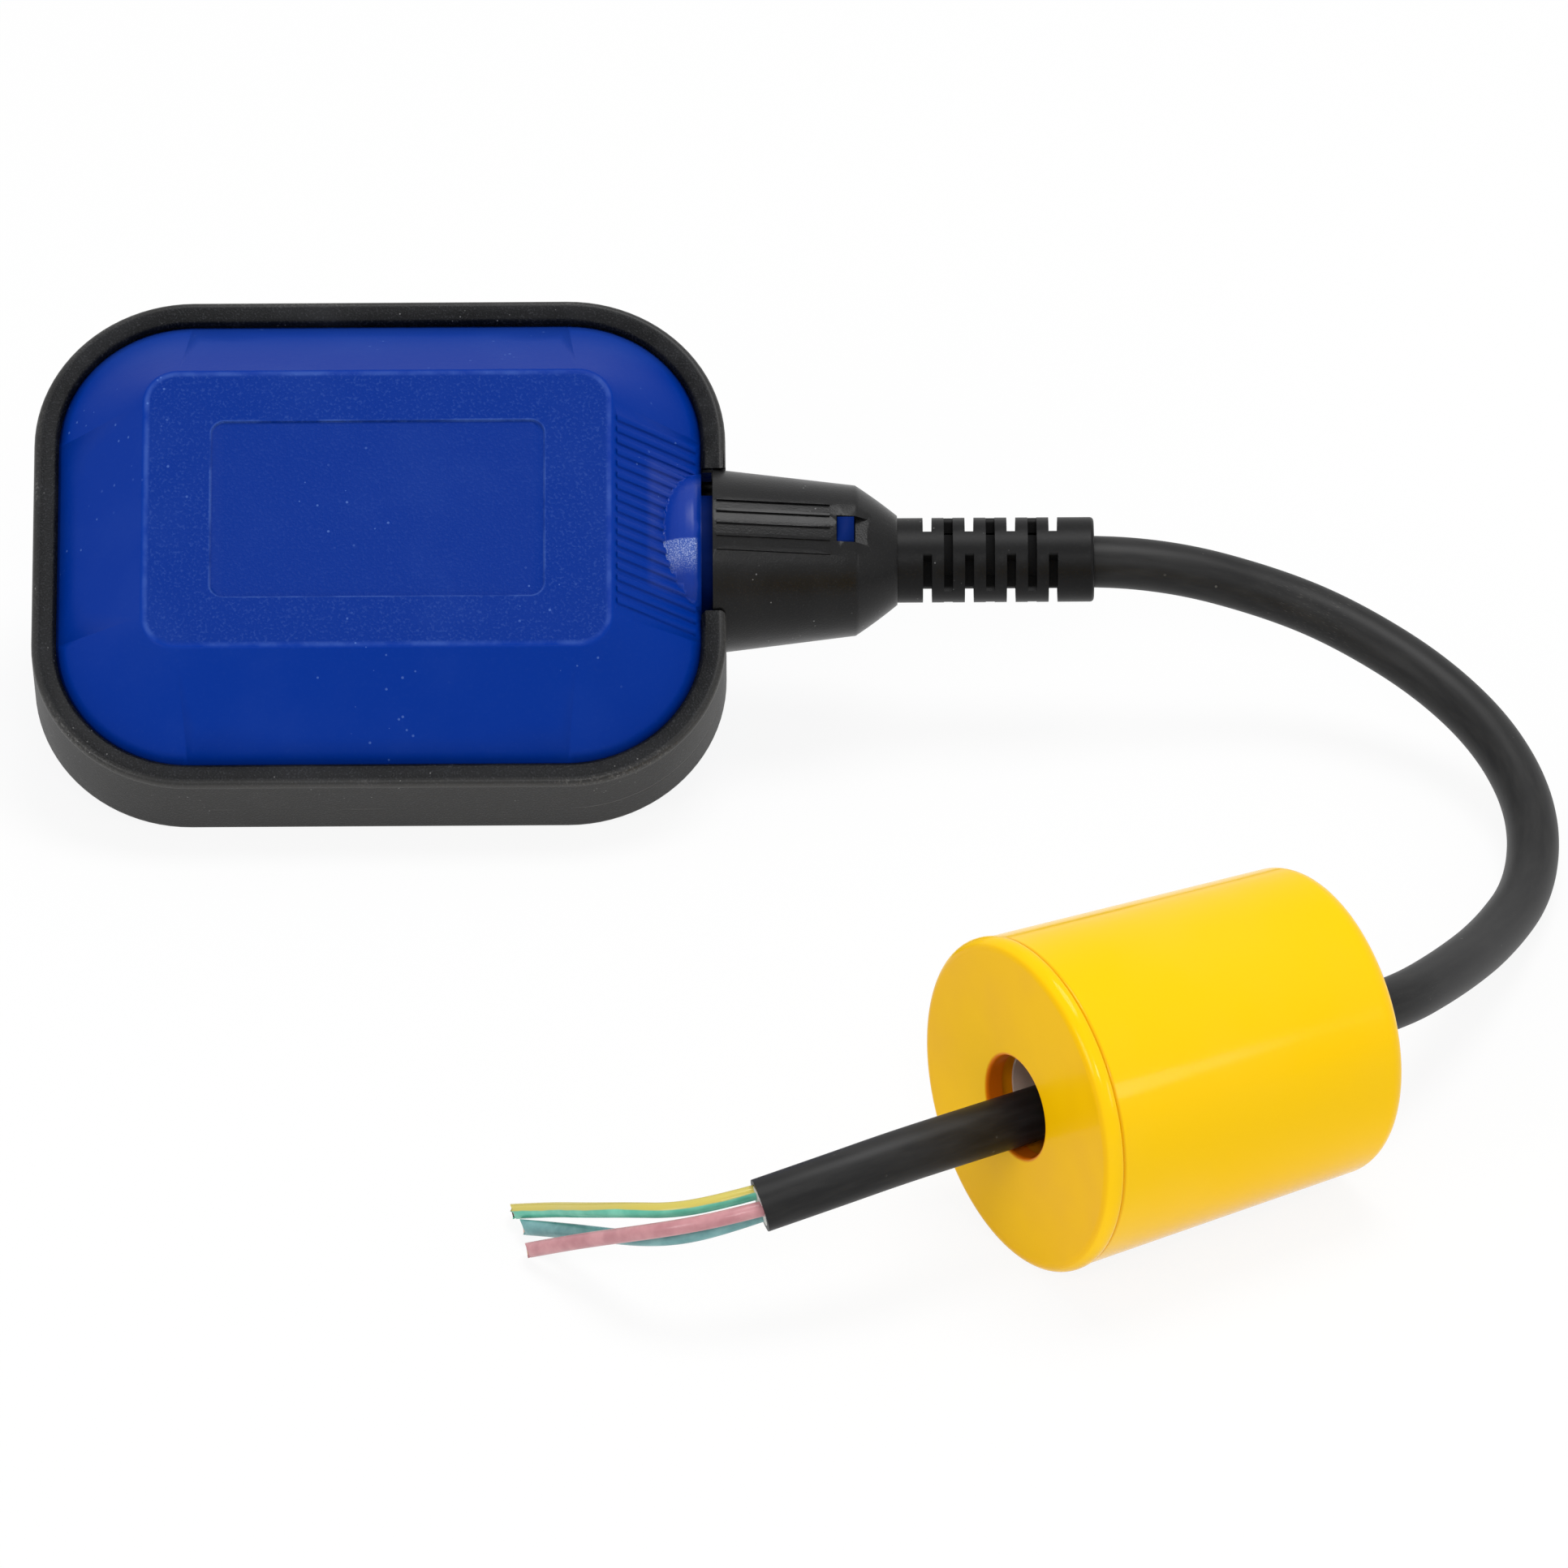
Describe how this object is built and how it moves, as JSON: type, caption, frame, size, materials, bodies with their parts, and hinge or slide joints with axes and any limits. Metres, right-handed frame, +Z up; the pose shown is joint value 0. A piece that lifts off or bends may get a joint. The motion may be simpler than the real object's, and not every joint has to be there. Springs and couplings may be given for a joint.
{
  "type": "cable float switch",
  "caption": "Level switch for tanks: a flat sealed blue float with a black rim and ribbed neck on a round cable, with a tapered yellow weight that slides on the cable",
  "frame": {"origin": "on the surface that it lies on, under the middle of the float with its neck and strain relief", "axes": "+X along the neck towards the cable's exit, +Z up, +Y away from the counterweight"},
  "size_m": [0.2345, 0.2123, 0.059],
  "materials": {
    "blue_plastic": "moulded, fine texture",
    "black_plastic": "moulded, fine texture",
    "black_rubber": "matt",
    "cable_rubber": "matt",
    "yellow_plastic": "glossy",
    "white_plastic": "moulded",
    "clear_plastic": "translucent",
    "iron": "raw",
    "steel": "plain",
    "brass": "plain",
    "brown_core": "matt",
    "blue_core": "matt",
    "earth_core": "matt, two colours"
  },
  "bodies": {
    "float": {"top_shell": "blue_plastic", "bottom_shell": "blue_plastic", "rim_band": "black_plastic", "gland_collar": "black_plastic", "strain_relief": "black_rubber", "cable_seal": "black_rubber", "clamp_ring": "black_plastic", "capsule_base": "white_plastic", "capsule_cover": "white_plastic", "lead_grommet": "black_rubber", "steel_ball": "steel", "switch_case": "black_plastic", "switch_cover": "black_plastic", "lever_pin": "steel", "terminal_common": "brass", "terminal_no": "brass", "terminal_nc": "brass", "lead_brown": "brown_core", "lead_blue": "blue_core", "lead_earth": "earth_core", "cable_sheath": "cable_rubber", "core_brown": "brown_core", "core_blue": "blue_core", "core_earth": "earth_core"},
    "lever": {"ball_lever": "steel"},
    "plunger": {"switch_plunger": "white_plastic"},
    "blade": {"contact_blade": "brass"},
    "weight": {"weight_shell": "yellow_plastic", "weight_cap": "yellow_plastic", "weight_core": "iron", "lock_ring": "clear_plastic"}
  },
  "joints": [
    {"name": "lever_hinge", "type": "hinge", "parent": "float", "child": "lever", "pos_m": [-0.02545, 0.00928, 0.03576], "axis": [0, -0.5603, 0.8283], "range_deg": [0, 13.5], "stiffness_Nm_per_rad": 0.0125, "springref_deg": -2.86},
    {"name": "plunger_slide", "type": "slide", "parent": "float", "child": "plunger", "axis": [1, 0, 0], "range_m": [0, 0.00119]},
    {"name": "blade_hinge", "type": "hinge", "parent": "float", "child": "blade", "pos_m": [-0.0207, -0.00464, 0.02635], "axis": [0, 0.5603, -0.8283], "range_deg": [0, 5.75]},
    {"name": "weight_slide", "type": "slide", "parent": "float", "child": "weight", "axis": [-0.8508, -0.5255, 0], "range_m": [0, 0.014]}
  ],
  "couplings": [
    {"joint": "plunger_slide", "follows": "lever_hinge", "m_per_rad": 0.005},
    {"joint": "blade_hinge", "follows": "lever_hinge", "ratio": 0.42373}
  ]
}
